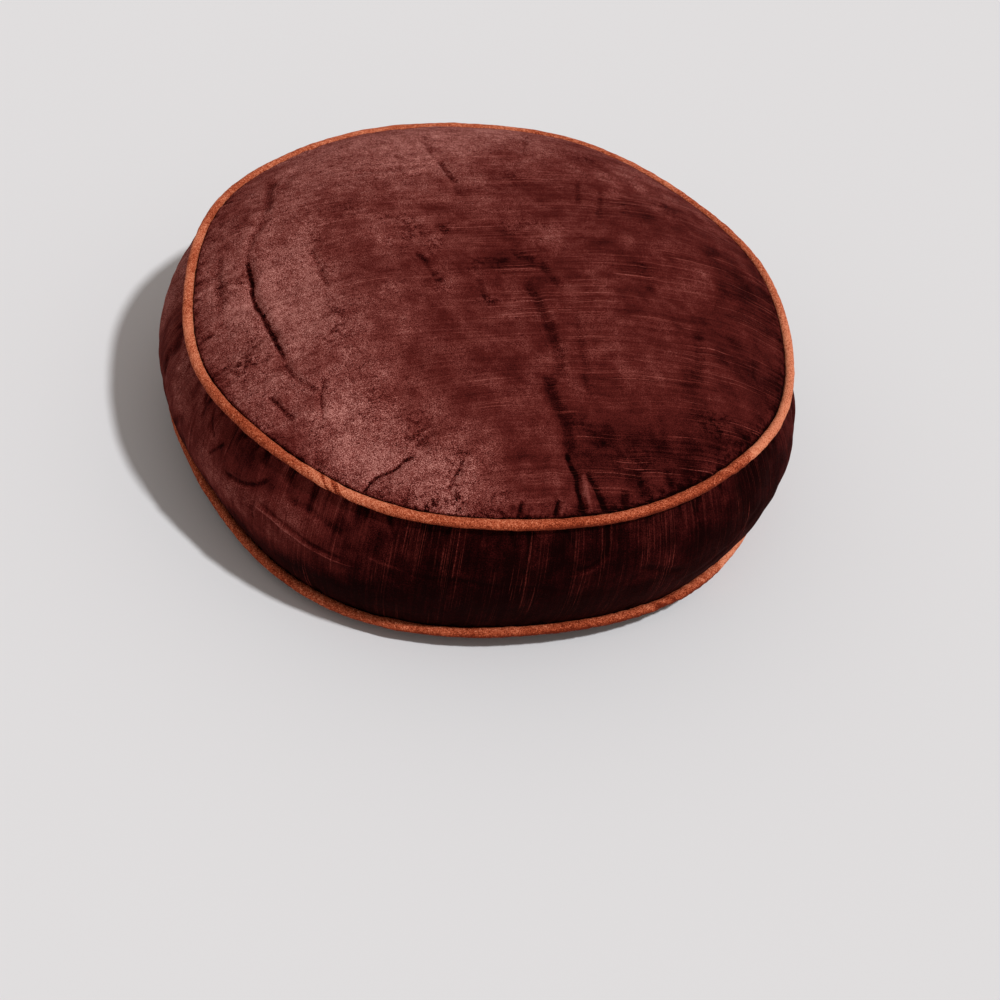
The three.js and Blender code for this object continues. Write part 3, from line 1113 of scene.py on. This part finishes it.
def rust_velvet():
    nodes = Nodes("rust_velvet")
    cloth = nodes.attribute("cloth", "Vector")
    thread = nodes.noise(nodes.attribute("slant", "Vector"), 900, 2.0)
    mottle = nodes.noise(cloth, 520, 3.0, 0.7)
    grain = nodes.noise(cloth, 1600, 0.0)
    crease_shade = nodes.attribute("crease_shade")
    # The strip's tone already holds painted shade on its lower side and painted highlight and shade from its
    # tables
    nap_and_light = nodes.add(nodes.attribute("nap_and_light"), mottle, 1.1)
    nap_and_light = nodes.add(nap_and_light, thread, 0.4)
    nap_and_light = nodes.add(nap_and_light, grain, 1.3)
    # Painted shade on the strip's underside and in its wrinkles, painted highlight on the ridges, and the
    # join's dark lines
    nap_and_light = nodes.add(nap_and_light, nodes.ramp(crease_shade, 0.05, 1.0), -0.55, 0.0)
    nap_and_light = nodes.add(nap_and_light, nodes.ramp(nodes.math("MULTIPLY", crease_shade, -1.0), 0.05, 0.6), 0.2, 0.0)
    color = nodes.colors(
        nap_and_light,
        (0.0, srgb(104, 34, 16)),
        (0.3, srgb(158, 68, 40)),
        (0.55, srgb(190, 94, 62)),
        (0.9, srgb(232, 144, 108)),
    )
    height = nodes.math("ADD", nodes.math("MULTIPLY", thread, 0.6), mottle)
    return nodes.finish(color, 0.8, nodes.bump(height, 0.0006), 0.08, 0.4, srgb(240, 150, 110), 0.04)


def dress(made, material, slot, *nodes):
    made.data.materials.clear()
    made.data.materials.append(material)
    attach(made, "root")
    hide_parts(*nodes)


# Stage: a pale floor, a bright light from the right front, and a camera at the photo's angle
def make_floor():
    reach = 6.0
    corners = np.array([[-reach, -reach, 0], [reach, -reach, 0], [reach, reach, 0], [-reach, reach, 0]])
    floor = new_mesh_object("floor", corners, [[0, 1, 2, 3]])
    nodes = Nodes("floor")
    nodes.put(nodes.shader.inputs["Base Color"], srgb(231, 230, 231))
    nodes.shader.inputs["Roughness"].default_value = 0.9
    nodes.shader.inputs["Specular IOR Level"].default_value = 0.1
    floor.data.materials.append(nodes.material)


SUN_AZIMUTH = math.radians(57)
SUN_ELEVATION = math.radians(60)


def make_lights():
    sun = bpy.data.lights.new("sun", "SUN")
    sun.energy = 2.15
    sun.angle = math.radians(4)
    sun.color = (0.96, 0.98, 1.0)
    lamp = bpy.data.objects.new("sun", sun)
    towards = Vector((
        math.sin(SUN_AZIMUTH) * math.cos(SUN_ELEVATION),
        -math.cos(SUN_AZIMUTH) * math.cos(SUN_ELEVATION),
        math.sin(SUN_ELEVATION),
    ))
    lamp.rotation_euler = towards.to_track_quat("Z", "Y").to_euler()
    bpy.context.collection.objects.link(lamp)
    world = bpy.data.worlds.new("studio")
    bpy.context.scene.world = world
    world.use_nodes = True
    sky = world.node_tree.nodes["Background"]
    sky.inputs["Color"].default_value = (1.0, 0.93, 0.88, 1)
    sky.inputs["Strength"].default_value = 0.37
    bpy.context.scene.view_settings.view_transform = "Standard"


CAMERA_ELEVATION = 38.675
CAMERA_DISTANCE = 1.6266
CAMERA_ROLL = -9.889
CAMERA_PAN = 0.9275
CAMERA_TILT = 4.2122


def make_camera():
    data = bpy.data.cameras.new("camera")
    data.lens = 90
    data.sensor_width = 36
    camera = bpy.data.objects.new("camera", data)
    rise = math.radians(CAMERA_ELEVATION)
    aim = Vector((middle[0], middle[1], face_level))
    back = Vector((0, -math.cos(rise), math.sin(rise)))
    turn = Matrix.Rotation(math.radians(90 - CAMERA_ELEVATION), 4, "X")
    turn = turn @ Matrix.Rotation(math.radians(-CAMERA_PAN), 4, "Y")
    turn = turn @ Matrix.Rotation(math.radians(-CAMERA_TILT), 4, "X")
    turn = turn @ Matrix.Rotation(math.radians(-CAMERA_ROLL), 4, "Z")
    camera.matrix_world = Matrix.Translation(aim + back * CAMERA_DISTANCE) @ turn
    bpy.context.collection.objects.link(camera)
    bpy.context.scene.camera = camera


make_camera()
make_lights()
make_floor()
cushion = make_cushion()
piping_top = make_piping("rust_piping_top", face_seam, math.radians(-22.5), 41, 0.53, FACE_CORD_NAP_AND_LIGHT)
# The lower strip rests at a darker tone than the upper one: painted shade
piping_bottom = make_piping("rust_piping_bottom", back_seam, math.radians(120), 51, 0.40, BACK_CORD_NAP_AND_LIGHT)
dress(cushion, burgundy_velvet(), "velvet_burgundy", "cushion")
rust = rust_velvet()
dress(piping_top, rust, "velvet_rust", "piping_top")
dress(piping_bottom, rust, "velvet_rust", "piping_bottom")
